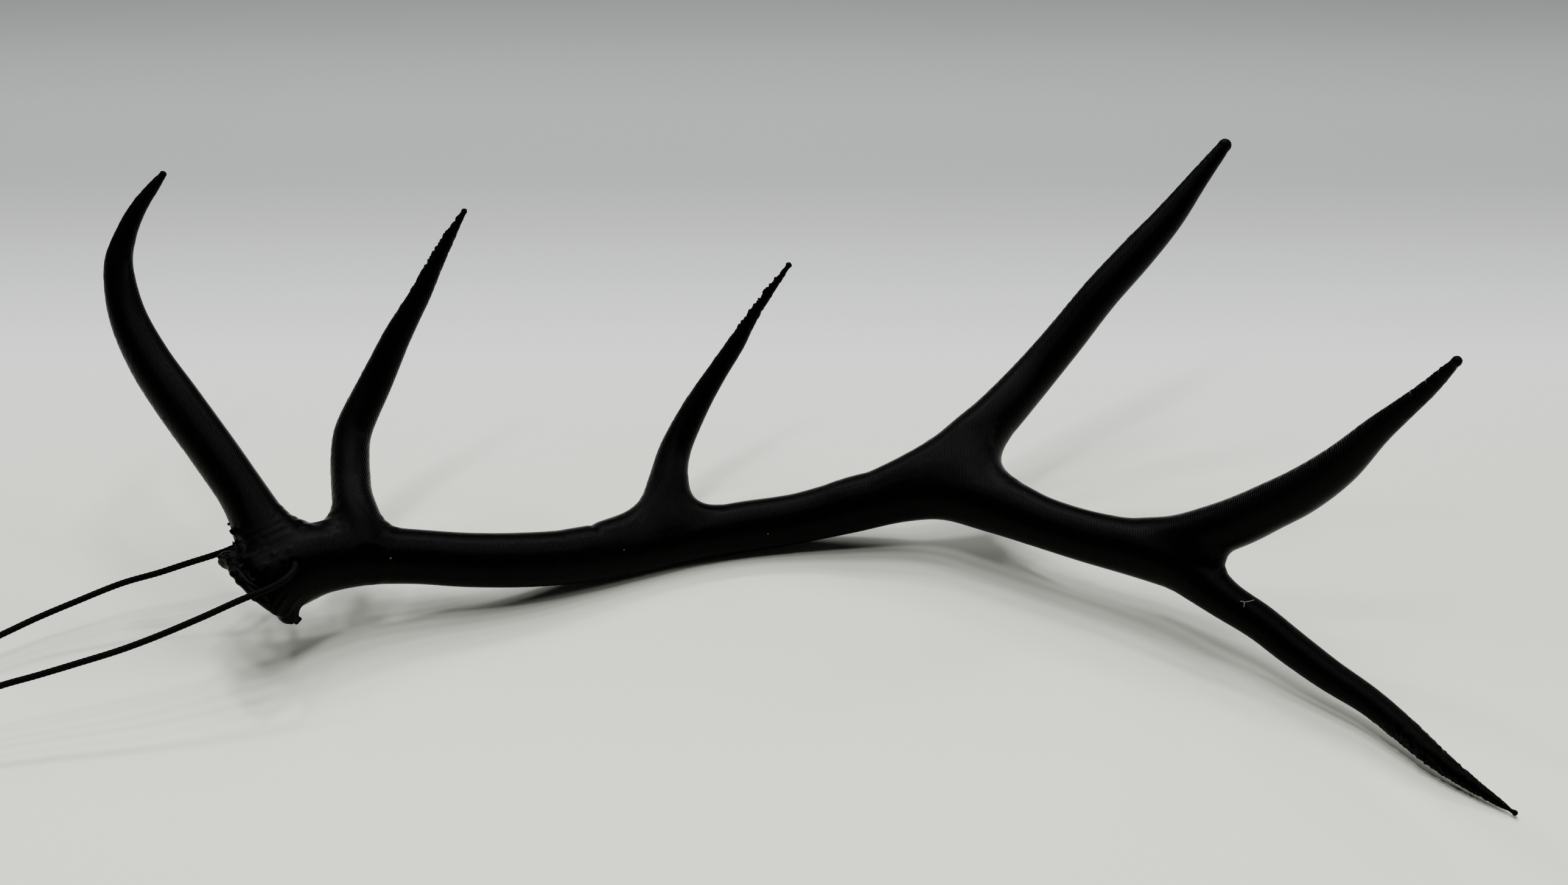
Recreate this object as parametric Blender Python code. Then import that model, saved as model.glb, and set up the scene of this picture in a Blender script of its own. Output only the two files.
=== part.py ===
"""A printed antler on a cord, lying on its side on a table.

The antler is one print of matte black plastic, 181 mm long: a burr with a cord
hole, a bowed main beam, four tines, and a last fork with two prongs. It rests
on a flat on the beam's belly and on the tip of the lower prong. A thin round
cord runs through the burr and lies in a loop, closed by a knot.

Origin: on the table, under the middle of the antler. X runs along the beam from
the burr to the fork, and Z is up.
"""
import math
import random

import bmesh
import bpy
import numpy as np
from mathutils import Matrix, Vector

MM = 0.001

# ---- driving dimensions, in millimetres ------------------------------------
CUT_GAP = 0.3             # gap left where a tine is parted from the beam
CUT_DISC_RADIUS = 7.5     # the round cut that parts it
TRIM_SIZE = (240.0, 140.0, 10.0)  # what hangs below the table inside this box is trimmed

BURR_RADIUS = 5.8         # the burr's flange, without its pearls
BURR_BULGE = 1.0          # how far the flange's two faces bulge
BURR_PEARLS = 15          # lumps around the flange
PEARL_SIZE = (0.75, 1.15)  # smallest and largest radius
PEARL_INSET = (0.3, 0.9)  # from the flange's edge inwards to a pearl's centre
PEARL_LIFT = (-0.2, 0.8)  # along the flange's axis
PEARL_DRIFT = 0.25        # how uneven the spacing is, in steps
PEARL_SEED = 7
BURR_AXIS = Vector((0.70, 0.41, 0.585)).normalized()
BURR_CENTRE = Vector((-67.1, -12.7, 10.2))
BURR_KNOBS = [            # the two large lumps, each with its radius
    (-71.2, -10.7, 13.3, 1.4),
    (-63.35, -14.6, 7.2, 1.4),
    (-62.4, -14.1, 6.0, 0.6),
]

CORD_DIAMETER = 0.9
CORD_POINT_SPACING = 2.7  # between the tube's points
HOLE_DIAMETER = 2.0
HOLE_FRONT = Vector((-61.8, -13.0, 14.3))
HOLE_BACK = Vector((-65.8, -2.2, 11.2))
HOLE_OVERRUN = 4.0        # how far the drill runs past each mouth
KNOT_PLACE = Vector((-123.1, -41.5, 1.6))
KNOT_ALONG = Vector((-4.4, -3.0, 0.0)).normalized()  # the cord's direction there
KNOT_WIDTH = 2.9
KNOT_TURNS = (-0.5, 0.5)  # where its two turns lie along the cord
KNOT_TAIL = 5.0           # the cord's two cut ends, past the knot
KNOT_TAIL_LEANS = (-0.35, 0.35)
KNOT_TAIL_HEIGHT = 0.55   # of a tail's end, above the table

# Stations along each limb: x, y, z of the centre and the limb's radius there.
BEAM = [
    (-67.2, -12.6, 10.2, 5.2),
    (-64.6, -10.6, 10.9, 5.1),
    (-60.8, -8.0, 11.2, 4.9),
    (-54.6, -5.7, 10.2, 4.1),
    (-48.0, -4.3, 8.9, 3.75),
    (-40.8, -3.0, 7.3, 3.75),
    (-33.0, -1.0, 5.8, 3.8),
    (-25.8, 1.8, 4.4, 3.8),
    (-18.5, 4.8, 3.5, 3.65),
    (-11.5, 7.4, 3.4, 3.55),
    (-4.2, 9.4, 3.5, 3.65),
    (3.5, 10.4, 4.25, 3.6),
    (10.8, 11.1, 5.9, 3.9),
    (18.1, 11.5, 7.8, 4.1),
    (24.4, 10.6, 9.1, 4.3),
    (30.9, 7.2, 9.3, 4.2),
    (37.0, 3.0, 9.2, 3.6),
    (43.2, -0.4, 9.2, 3.6),
    (49.6, -3.9, 9.8, 3.9),
    (55.0, -7.4, 10.3, 4.0),
]
BROW_TINE = [
    (-64.6, -9.4, 11.0, 5.0),
    (-67.0, -6.4, 14.1, 4.1),
    (-69.7, -2.9, 17.4, 3.3),
    (-74.1, 1.7, 21.4, 3.2),
    (-79.7, 7.2, 26.2, 3.2),
    (-84.0, 11.7, 30.1, 2.95),
    (-87.3, 16.2, 34.5, 2.55),
    (-88.6, 20.2, 39.4, 2.05),
    (-87.8, 22.7, 42.7, 1.6),
    (-86.0, 25.2, 45.9, 1.25),
    (-83.1, 27.9, 49.5, 0.75),
]
BEZ_TINE = [
    (-54.5, -6.2, 10.6, 4.2),
    (-55.4, -3.0, 13.4, 3.45),
    (-56.4, 0.4, 15.1, 2.85),
    (-57.0, 3.2, 16.0, 2.75),
    (-57.6, 7.7, 17.9, 2.7),
    (-57.2, 10.7, 19.9, 2.6),
    (-54.4, 15.2, 24.5, 2.35),
    (-51.5, 18.2, 29.7, 2.0),
    (-48.1, 21.2, 34.9, 1.55),
    (-45.6, 23.5, 39.3, 1.2),
    (-42.3, 26.8, 44.6, 0.7),
]
TREZ_TINE = [
    (-23.6, 3.2, 4.9, 3.4),
    (-19.0, 6.6, 4.9, 3.4),
    (-16.1, 9.4, 6.2, 3.3),
    (-14.8, 13.2, 8.4, 2.85),
    (-13.8, 17.2, 11.3, 2.35),
    (-11.0, 21.2, 15.7, 1.95),
    (-8.0, 23.9, 19.8, 1.6),
    (-5.3, 25.9, 23.6, 1.35),
    (-2.5, 27.9, 27.5, 1.0),
    (2.5, 30.8, 33.8, 0.6),
]
ROYAL_TINE = [
    (14.7, 11.4, 7.6, 3.5),
    (20.0, 12.7, 9.6, 3.7),
    (24.9, 14.7, 11.5, 3.85),
    (28.8, 17.4, 13.6, 3.75),
    (32.2, 20.2, 15.5, 3.45),
    (37.4, 25.2, 18.8, 3.1),
    (42.2, 28.9, 23.1, 2.9),
    (46.8, 32.2, 27.8, 2.75),
    (52.2, 35.7, 32.6, 2.6),
    (56.8, 38.6, 36.9, 2.2),
    (60.8, 41.4, 41.4, 1.6),
    (65.1, 44.2, 46.1, 0.9),
]
UPPER_PRONG = [
    (49.0, -2.6, 9.6, 3.7),
    (53.9, -4.9, 11.9, 3.6),
    (58.2, -6.7, 15.1, 3.45),
    (61.6, -8.3, 18.2, 3.35),
    (64.4, -9.7, 21.3, 3.2),
    (67.8, -11.3, 25.1, 3.05),
    (71.4, -13.0, 30.3, 2.65),
    (74.5, -14.6, 36.4, 1.95),
    (77.2, -15.8, 40.9, 1.5),
    (81.6, -17.9, 49.3, 0.75),
]
LOWER_PRONG = [
    (54.8, -7.6, 10.2, 3.9),
    (59.2, -12.6, 8.6, 2.75),
    (63.7, -15.8, 7.1, 2.5),
    (67.6, -19.3, 5.6, 2.4),
    (71.7, -23.2, 4.4, 2.2),
    (75.7, -27.4, 3.6, 2.1),
    (79.1, -31.9, 2.8, 2.1),
    (82.3, -36.1, 2.1, 1.8),
    (85.3, -39.1, 1.6, 1.4),
    (90.6, -44.2, 0.7, 0.7),
]

# The cord's route: out of the front of the burr, round the loop, in at the back.
CORD_ROUTE = [
    (-63.6, -8.1, 12.9),
    (-62.3, -11.6, 13.9),
    (-61.5, -14.2, 14.7),
    (-62.2, -16.6, 14.9),
    (-64.2, -18.0, 14.4),
    (-67.6, -19.4, 13.7),
    (-72.3, -21.6, 12.6),
    (-77.4, -23.7, 11.4),
    (-82.0, -25.3, 10.4),
    (-87.4, -26.8, 9.4),
    (-92.1, -28.1, 8.6),
    (-96.5, -29.4, 8.0),
    (-101.6, -31.2, 7.0),
    (-106.8, -33.3, 5.6),
    (-112.0, -35.6, 3.8),
    (-117.0, -37.8, 2.3),
    (-121.0, -40.1, 1.6),
    (-125.2, -43.0, 1.5),
    (-129.6, -46.2, 0.8),
    (-134.2, -48.0, 0.5),
    (-137.6, -46.2, 0.5),
    (-137.4, -42.2, 0.5),
    (-134.0, -38.4, 0.5),
    (-129.0, -34.4, 0.6),
    (-123.4, -30.1, 0.9),
    (-117.8, -25.8, 1.5),
    (-112.2, -21.6, 2.3),
    (-106.8, -17.8, 3.0),
    (-101.8, -14.5, 3.7),
    (-97.6, -11.8, 4.4),
    (-92.8, -9.4, 5.3),
    (-87.3, -7.0, 6.4),
    (-82.3, -5.9, 7.4),
    (-78.4, -4.8, 8.2),
    (-74.8, -3.8, 8.9),
    (-72.5, -2.9, 9.4),
    (-70.8, -1.2, 9.6),
    (-69.7, 0.7, 9.7),
    (-68.2, 1.4, 9.9),
    (-66.8, 0.7, 10.4),
    (-66.1, -1.0, 10.9),
    (-65.0, -4.3, 11.8),
]

# Each limb, where it is parted (distance along it from its first station), and
# how widely its crotches flow into the limbs before it.
LIMBS = {
    "brow_tine": (BROW_TINE, 9.5, 5.5),
    "bez_tine": (BEZ_TINE, 8.5, 3.2),
    "trez_tine": (TREZ_TINE, 15.0, 2.6),
    "royal_tine": (ROYAL_TINE, 21.5, 8.0),
    "upper_prong": (UPPER_PRONG, 16.5, 3.0),
    "lower_prong": (LOWER_PRONG, 9.0, 3.0),
}

# ---- surfaces -----------------------------------------------------------------
BLACK_PLASTIC = (0.012, 0.012, 0.012)
PLASTIC_ROUGHNESS = 0.55
BLACK_CORD = (0.015, 0.014, 0.014)
CORD_ROUGHNESS = 0.8

# ---- how finely the solids are made ----------------------------------------
RING_SPACING = 0.9        # along a limb
RING_SIDES = 28
TIP_ROUNDING = 0.9        # how far a tip reaches past its last ring, in radii
BLEND_VOXEL = 0.45
BLEND_SMOOTH_STEPS = 14
SMOOTH_FACTOR = 0.5
ANTLER_TRIANGLES = 6900
CROTCH_PATH_SPACING = 1.2  # of the samples that a crotch's skin is measured from
CROTCH_PASSES = 5
CROTCH_CLEAR = (2.5, 5.0)  # above the burr, where the flow starts and where it is whole
CROTCH_FADE = 0.12        # how much a crotch must gain before its skin moves in full
CROTCH_STEEPEST = 0.4     # bounds each move where two skins face each other
POINTS_AT_ONCE = 8000
CUT_DISC_SIDES = 24
HOLE_SIDES = 16
CUT_PATH_SPACING = 0.25   # of the samples that a cut's distance is measured on
TIP_REACH = 2.0           # a piece with a vertex this near a limb's tip is that limb
BAND_SEGMENTS = 32
KNOT_VOXEL = 0.12
KNOT_SMOOTH_STEPS = 1
KNOT_TRIANGLES = 320


def clear_scene():
    for obj in list(bpy.data.objects):
        bpy.data.objects.remove(obj, do_unlink=True)


def plastic(name, colour, roughness):
    """A plain dielectric surface."""
    material = bpy.data.materials.new(name)
    material.use_nodes = True
    shader = material.node_tree.nodes["Principled BSDF"]
    shader.inputs["Base Color"].default_value = (*colour, 1.0)
    shader.inputs["Roughness"].default_value = roughness
    shader.inputs["Metallic"].default_value = 0.0
    return material


def smooth_path(stations, spacing):
    """Evenly spaced samples of a smooth curve through the stations."""
    points = [Vector(s) for s in stations]
    first = points[0] * 2 - points[1]
    last = points[-1] * 2 - points[-2]
    guide = [first] + points + [last]
    samples = []
    for i in range(1, len(guide) - 2):
        a, b, c, d = guide[i - 1:i + 3]
        length = (c - b).length
        steps = max(1, round(length / spacing))
        for k in range(steps):
            t = k / steps
            samples.append(catmull_rom(a, b, c, d, t))
    samples.append(points[-1])
    return samples


def catmull_rom(a, b, c, d, t):
    return 0.5 * (2 * b + (c - a) * t + (2 * a - 5 * b + 4 * c - d) * t ** 2
                  + (3 * b - a - 3 * c + d) * t ** 3)


def path_frames(centres):
    """A tangent and a side vector at each point, turned as little as possible."""
    side = (centres[1] - centres[0]).orthogonal()
    frames = []
    for i in range(len(centres)):
        before = centres[max(i - 1, 0)]
        after = centres[min(i + 1, len(centres) - 1)]
        tangent = (after - before).normalized()
        side = (side - tangent * side.dot(tangent)).normalized()
        frames.append((tangent, side))
    return frames


def add_limb(bm, stations):
    """One limb: rings along its path, closed flat at its root and rounded at its tip."""
    samples = smooth_path(stations, RING_SPACING)
    centres = [Vector(s[:3]) for s in samples]
    radii = [s[3] for s in samples]
    frames = path_frames(centres)
    rings = []
    for centre, radius, (tangent, side) in zip(centres, radii, frames):
        rings.append(add_ring(bm, centre, side, tangent.cross(side), radius))
    cap_end(bm, rings[0], centres[0])
    cap_end(bm, rings[-1], centres[-1] + frames[-1][0] * radii[-1] * TIP_ROUNDING)
    for lower, upper in zip(rings, rings[1:]):
        for k in range(RING_SIDES):
            n = (k + 1) % RING_SIDES
            bm.faces.new((lower[k], lower[n], upper[n], upper[k]))


def add_ring_band(bm, place, radius, thickness):
    """A closed torus round the Z axis of its place."""
    rings = []
    for i in range(BAND_SEGMENTS):
        turn = 2 * math.pi * i / BAND_SEGMENTS
        out = Vector((math.cos(turn), math.sin(turn), 0.0))
        centre = place @ (out * radius)
        side = place.to_3x3() @ out
        up = place.to_3x3() @ Vector((0.0, 0.0, 1.0))
        rings.append(add_ring(bm, centre, side, up, thickness))
    for i in range(BAND_SEGMENTS):
        lower = rings[i]
        upper = rings[(i + 1) % BAND_SEGMENTS]
        for k in range(RING_SIDES):
            n = (k + 1) % RING_SIDES
            bm.faces.new((lower[k], lower[n], upper[n], upper[k]))


def add_ring(bm, centre, side, up, radius):
    ring = []
    for k in range(RING_SIDES):
        angle = 2 * math.pi * k / RING_SIDES
        offset = side * math.cos(angle) + up * math.sin(angle)
        ring.append(bm.verts.new(centre + offset * radius))
    return ring


def cap_end(bm, ring, apex):
    tip = bm.verts.new(apex)
    for k in range(RING_SIDES):
        bm.faces.new((ring[k], ring[(k + 1) % RING_SIDES], tip))


def add_burr(bm):
    """The flange at the foot of the antler, with its crown of pearls."""
    flange = place_along(BURR_CENTRE, BURR_AXIS)
    squash = Matrix.Diagonal((1.0, 1.0, BURR_BULGE / BURR_RADIUS, 1.0))
    bmesh.ops.create_icosphere(bm, subdivisions=4, radius=BURR_RADIUS, matrix=flange @ squash)
    rng = random.Random(PEARL_SEED)
    for k in range(BURR_PEARLS):
        angle = 2 * math.pi * (k + rng.uniform(-PEARL_DRIFT, PEARL_DRIFT)) / BURR_PEARLS
        reach = BURR_RADIUS - rng.uniform(*PEARL_INSET)
        size = rng.uniform(*PEARL_SIZE)
        lift = rng.uniform(*PEARL_LIFT)
        add_ball(bm, flange @ Vector((reach * math.cos(angle), reach * math.sin(angle), lift)), size)
    for x, y, z, size in BURR_KNOBS:
        add_ball(bm, Vector((x, y, z)), size)


def add_ball(bm, centre, radius):
    bmesh.ops.create_icosphere(bm, subdivisions=2, radius=radius, matrix=Matrix.Translation(centre))


def place_along(point, direction):
    """A place at a point, its Z axis along a direction."""
    return Matrix.Translation(point) @ direction.to_track_quat("Z", "Y").to_matrix().to_4x4()


def new_object(name, bm):
    """A mesh object, in metres, from a bmesh in millimetres."""
    mesh = bpy.data.meshes.new(name)
    bm.transform(Matrix.Scale(MM, 4))
    bm.to_mesh(mesh)
    bm.free()
    obj = bpy.data.objects.new(name, mesh)
    bpy.context.scene.collection.objects.link(obj)
    return obj


def apply_modifiers(obj):
    """Replace the object's mesh with what its modifiers make."""
    graph = bpy.context.evaluated_depsgraph_get()
    mesh = bpy.data.meshes.new_from_object(obj.evaluated_get(graph))
    obj.modifiers.clear()
    obj.data = mesh


def blended_antler():
    """All limbs and the burr grown together, with rounded crotches."""
    bm = bmesh.new()
    add_limb(bm, BEAM)
    for stations, _, _ in LIMBS.values():
        add_limb(bm, stations)
    add_burr(bm)
    antler = grow_together("antler", bm, BLEND_VOXEL, BLEND_SMOOTH_STEPS)
    fill_crotches(antler.data)
    thin_out(antler, ANTLER_TRIANGLES)
    return antler


def limb_skin(points, stations):
    """How far each point is from a limb's skin, and which way is out."""
    path = np.array([tuple(s) for s in smooth_path(stations, CROTCH_PATH_SPACING)])
    start, run = path[:-1], np.diff(path, axis=0)
    square = (run[:, :3] ** 2).sum(1)
    gaps, outs = [], []
    for low in range(0, len(points), POINTS_AT_ONCE):
        rel = points[low:low + POINTS_AT_ONCE, None, :] - start[:, :3]
        t = np.clip((rel * run[:, :3]).sum(2) / square, 0.0, 1.0)
        off = rel - t[..., None] * run[:, :3]
        far = np.linalg.norm(off, axis=2)
        gap = far - start[:, 3] - t * run[:, 3]
        rows, best = np.arange(len(rel)), gap.argmin(1)
        gaps.append(gap[rows, best])
        outs.append(off[rows, best] / far[rows, best][:, None])
    return np.concatenate(gaps), np.concatenate(outs)


def flow_together(first, second, width):
    """One skin from two, the crotch between them rounded out over a width."""
    gap_a, out_a = first
    gap_b, out_b = second
    facing = np.clip(1.0 - (out_a * out_b).sum(1), 0.0, 1.0)
    width = np.maximum(width * facing, 1e-6)
    reach = np.clip(1.0 - np.abs(gap_a - gap_b) / width, 0.0, 1.0)
    share = np.where(gap_a < gap_b, reach / 2, 1.0 - reach / 2)[:, None]
    return np.minimum(gap_a, gap_b) - reach ** 2 * width / 4, out_a * (1.0 - share) + out_b * share


def flowing_skin(points):
    """The blended skin's gap and outward direction, and the gap of the unblended limbs."""
    skin = limb_skin(points, BEAM)
    hard = skin[0]
    for stations, _, width in LIMBS.values():
        other = limb_skin(points, stations)
        hard = np.minimum(hard, other[0])
        skin = flow_together(skin, other, width)
    return skin[0], skin[1], hard


def smooth_ramp(low, high, value):
    t = np.clip((value - low) / (high - low), 0.0, 1.0)
    return t * t * (3 - 2 * t)


def fill_crotches(mesh):
    """Round out the crotches, as the tines grow out of the beam."""
    flat = np.empty(len(mesh.vertices) * 3)
    mesh.vertices.foreach_get("co", flat)
    points = flat.reshape(-1, 3) / MM
    clear = smooth_ramp(*CROTCH_CLEAR, (points - np.array(BURR_CENTRE)) @ np.array(BURR_AXIS))
    busy = np.arange(len(points))
    for _ in range(CROTCH_PASSES):
        gap, out, hard = flowing_skin(points[busy])
        steep = np.maximum((out ** 2).sum(1), CROTCH_STEEPEST)
        move = gap / steep * smooth_ramp(0.0, CROTCH_FADE, hard - gap) * clear[busy]
        points[busy] -= out * move[:, None]
        busy = busy[hard > gap]
    mesh.vertices.foreach_set("co", (points * MM).ravel())
    mesh.update()


def grow_together(name, bm, voxel, smooth_steps):
    """One closed skin over all the bodies of a bmesh, its creases rounded."""
    bmesh.ops.recalc_face_normals(bm, faces=bm.faces)
    obj = new_object(name, bm)
    remesh = obj.modifiers.new("grow_together", "REMESH")
    remesh.mode = "VOXEL"
    remesh.voxel_size = voxel * MM
    soften = obj.modifiers.new("soften", "SMOOTH")
    soften.factor = SMOOTH_FACTOR
    soften.iterations = smooth_steps
    apply_modifiers(obj)
    return obj


def thin_out(obj, triangles):
    count = sum(len(p.vertices) - 2 for p in obj.data.polygons)
    decimate = obj.modifiers.new("thin_out", "DECIMATE")
    decimate.ratio = triangles / count
    apply_modifiers(obj)


def cutter(name, bm):
    obj = new_object(name, bm)
    obj.hide_render = True
    obj.display_type = "WIRE"
    return obj


def subtract(target, tool):
    cut = target.modifiers.new("cut", "BOOLEAN")
    cut.operation = "DIFFERENCE"
    cut.solver = "EXACT"
    cut.object = tool
    apply_modifiers(target)
    bpy.data.objects.remove(tool, do_unlink=True)


def drill_cord_hole(antler):
    """The round hole from the front of the burr to its back."""
    run = HOLE_BACK - HOLE_FRONT
    reach = run.length + 2 * HOLE_OVERRUN
    place = place_along((HOLE_FRONT + HOLE_BACK) / 2, run)
    bm = bmesh.new()
    bmesh.ops.create_cone(bm, cap_ends=True, segments=HOLE_SIDES, depth=reach, matrix=place,
                          radius1=HOLE_DIAMETER / 2, radius2=HOLE_DIAMETER / 2)
    subtract(antler, cutter("cord_hole", bm))


def flatten_belly(antler):
    """Trim what hangs below the table, which leaves the flat that it rests on."""
    bm = bmesh.new()
    below = Matrix.Translation((0.0, 0.0, -TRIM_SIZE[2] / 2))
    bmesh.ops.create_cube(bm, size=1.0, matrix=below @ Matrix.Diagonal((*TRIM_SIZE, 1.0)))
    subtract(antler, cutter("table_trim", bm))


def cut_place(stations, distance):
    """The point and direction on a limb's path at a distance from its start."""
    samples = smooth_path(stations, CUT_PATH_SPACING)
    travelled = 0.0
    for a, b in zip(samples, samples[1:]):
        step = Vector(b[:3]) - Vector(a[:3])
        travelled += step.length
        if travelled >= distance:
            break
    return Vector(b[:3]), step.normalized()


def part_limbs(antler):
    """Thin round cuts across the root of each tine and prong."""
    for name, (stations, distance, _) in LIMBS.items():
        place = place_along(*cut_place(stations, distance))
        bm = bmesh.new()
        bmesh.ops.create_cone(bm, cap_ends=True, segments=CUT_DISC_SIDES, depth=CUT_GAP, matrix=place,
                              radius1=CUT_DISC_RADIUS, radius2=CUT_DISC_RADIUS)
        subtract(antler, cutter("cut_" + name, bm))


def loose_pieces(obj):
    """The separate closed bodies of a mesh, each as its own bmesh in millimetres."""
    bm = bmesh.new()
    bm.from_mesh(obj.data)
    bm.transform(Matrix.Scale(1 / MM, 4))
    bmesh.ops.triangulate(bm, faces=bm.faces)
    unseen = set(bm.verts)
    pieces = []
    while unseen:
        start = unseen.pop()
        island = {start}
        to_visit = [start]
        while to_visit:
            vert = to_visit.pop()
            for edge in vert.link_edges:
                other = edge.other_vert(vert)
                if other not in island:
                    island.add(other)
                    to_visit.append(other)
        unseen -= island
        piece = bm.copy()
        piece.verts.ensure_lookup_table()
        keep = {v.index for v in island}
        doomed = [v for v in piece.verts if v.index not in keep]
        bmesh.ops.delete(piece, geom=doomed, context="VERTS")
        pieces.append(piece)
    bm.free()
    return pieces


def name_piece(bm):
    """A limb is known by the tip that it holds, and the rest is the beam."""
    for name, (stations, _, _) in LIMBS.items():
        tip = Vector(stations[-1][:3])
        if min((v.co - tip).length for v in bm.verts) < TIP_REACH:
            return name
    return "main_beam"


def build_antler():
    black = plastic("black_plastic", BLACK_PLASTIC, PLASTIC_ROUGHNESS)
    antler = blended_antler()
    flatten_belly(antler)
    drill_cord_hole(antler)
    part_limbs(antler)
    for bm in loose_pieces(antler):
        piece = new_object(name_piece(bm), bm)
        piece.data.materials.clear()
        piece.data.materials.append(black)
        piece.data.shade_smooth()
    bpy.data.objects.remove(antler, do_unlink=True)


def build_cord(fabric):
    """The free cord: a round tube along a smooth curve through its route."""
    curve = bpy.data.curves.new("hanging_cord", "CURVE")
    curve.dimensions = "3D"
    curve.bevel_depth = CORD_DIAMETER / 2 * MM
    curve.bevel_resolution = 2
    curve.use_fill_caps = True
    points = smooth_path(CORD_ROUTE, CORD_POINT_SPACING)
    spline = curve.splines.new("POLY")
    spline.points.add(len(points) - 1)
    for target, point in zip(spline.points, points):
        target.co = (*(point * MM), 1.0)
    curve.materials.append(fabric)
    cord = bpy.data.objects.new("hanging_cord", curve)
    bpy.context.scene.collection.objects.link(cord)


def build_knot(fabric):
    """The knot that closes the loop: a lump round the cord, with two short tails."""
    across = Vector((KNOT_ALONG.y, -KNOT_ALONG.x, 0.0))
    place = place_along(KNOT_PLACE, KNOT_ALONG)
    bore = CORD_DIAMETER / 2 + CUT_GAP
    wall = (KNOT_WIDTH / 2 - bore) / 2
    bm = bmesh.new()
    for shift in KNOT_TURNS:
        add_ring_band(bm, place @ Matrix.Translation((0.0, 0.0, shift)), bore + wall, wall)
    for lean in KNOT_TAIL_LEANS:
        root = KNOT_PLACE + across * (bore + wall)
        tip = root + (across + KNOT_ALONG * lean) * KNOT_TAIL
        tip.z = KNOT_TAIL_HEIGHT
        add_limb(bm, [(*root, wall), (*root.lerp(tip, 0.5), wall), (*tip, wall)])
    knot = grow_together("cord_knot", bm, KNOT_VOXEL, KNOT_SMOOTH_STEPS)
    thin_out(knot, KNOT_TRIANGLES)
    knot.data.materials.append(fabric)
    knot.data.shade_smooth()


def main():
    clear_scene()
    build_antler()
    fabric = plastic("black_cord", BLACK_CORD, CORD_ROUGHNESS)
    build_cord(fabric)
    build_knot(fabric)


main()
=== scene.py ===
import math
import random

import bmesh
import bpy
import numpy as np
from mathutils import Matrix, Vector, noise


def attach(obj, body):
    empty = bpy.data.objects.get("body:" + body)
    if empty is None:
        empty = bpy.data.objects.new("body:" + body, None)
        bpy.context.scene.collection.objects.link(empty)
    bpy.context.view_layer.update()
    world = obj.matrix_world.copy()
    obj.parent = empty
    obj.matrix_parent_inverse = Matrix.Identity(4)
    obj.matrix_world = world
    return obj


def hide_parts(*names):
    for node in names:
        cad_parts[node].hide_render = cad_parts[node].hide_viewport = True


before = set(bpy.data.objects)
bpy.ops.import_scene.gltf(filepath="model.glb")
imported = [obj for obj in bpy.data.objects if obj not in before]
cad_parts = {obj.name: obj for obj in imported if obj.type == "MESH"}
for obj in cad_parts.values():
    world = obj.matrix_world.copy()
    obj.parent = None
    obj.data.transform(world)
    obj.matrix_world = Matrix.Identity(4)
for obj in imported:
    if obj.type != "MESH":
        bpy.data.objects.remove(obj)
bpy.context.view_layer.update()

MM = 0.001

# ---- the print ---------------------------------------------------------------
LAYER_AXIS = Vector((0.997, -0.070, -0.030)).normalized()  # the way the printer built it up
LAYER_PITCH = 0.2         # mm, one layer
BALL_FINENESS = 3         # how often a ball's triangles are split
ABOVE_TABLE = 0.01        # mm, the least height that the skin keeps
TINY = 1e-6               # keeps divisions away from zero

# Stations along each limb, in millimetres: x, y, z of the centre and the radius.
BEAM = [
    (-67.2, -12.6, 10.2, 5.2),
    (-64.6, -10.6, 10.9, 5.1),
    (-60.8, -8.0, 11.2, 4.9),
    (-54.6, -5.7, 10.2, 4.1),
    (-48.0, -4.3, 8.9, 3.75),
    (-40.8, -3.0, 7.3, 3.75),
    (-33.0, -1.0, 5.8, 3.8),
    (-25.8, 1.8, 4.4, 3.8),
    (-18.5, 4.8, 3.5, 3.65),
    (-11.5, 7.4, 3.4, 3.55),
    (-4.2, 9.4, 3.5, 3.65),
    (3.5, 10.4, 4.25, 3.6),
    (10.8, 11.1, 5.9, 3.9),
    (18.1, 11.5, 7.8, 4.1),
    (24.4, 10.6, 9.1, 4.3),
    (30.9, 7.2, 9.3, 4.2),
    (37.0, 3.0, 9.2, 3.6),
    (43.2, -0.4, 9.2, 3.6),
    (49.6, -3.9, 9.8, 3.9),
    (55.0, -7.4, 10.3, 4.0),
]
BROW_TINE = [
    (-64.6, -9.4, 11.0, 5.0),
    (-67.0, -6.4, 14.1, 4.1),
    (-69.7, -2.9, 17.4, 3.3),
    (-74.1, 1.7, 21.4, 3.2),
    (-79.7, 7.2, 26.2, 3.2),
    (-84.0, 11.7, 30.1, 2.95),
    (-87.3, 16.2, 34.5, 2.55),
    (-88.6, 20.2, 39.4, 2.05),
    (-87.8, 22.7, 42.7, 1.6),
    (-86.0, 25.2, 45.9, 1.25),
    (-82.9, 27.8, 49.35, 0.8),
]
BEZ_TINE = [
    (-54.5, -6.2, 10.6, 4.2),
    (-55.4, -3.0, 13.4, 3.45),
    (-56.4, 0.4, 15.1, 2.85),
    (-57.0, 3.2, 16.0, 2.75),
    (-57.6, 7.7, 17.9, 2.7),
    (-57.2, 10.7, 19.9, 2.6),
    (-54.4, 15.2, 24.5, 2.35),
    (-51.5, 18.2, 29.7, 2.0),
    (-48.1, 21.2, 34.9, 1.55),
    (-45.6, 23.5, 39.3, 1.2),
    (-42.2, 26.65, 44.35, 0.65),
]
TREZ_TINE = [
    (-23.6, 3.2, 4.9, 3.4),
    (-18.9, 6.5, 4.76, 3.35),
    (-15.97, 9.35, 6.13, 3.2),
    (-14.8, 13.2, 8.4, 2.85),
    (-13.8, 17.2, 11.3, 2.35),
    (-11.0, 21.2, 15.7, 1.95),
    (-8.0, 23.9, 19.8, 1.6),
    (-5.2, 25.85, 23.55, 1.4),
    (-2.5, 27.9, 27.5, 1.0),
    (2.25, 30.65, 33.55, 0.6),
]
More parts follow.
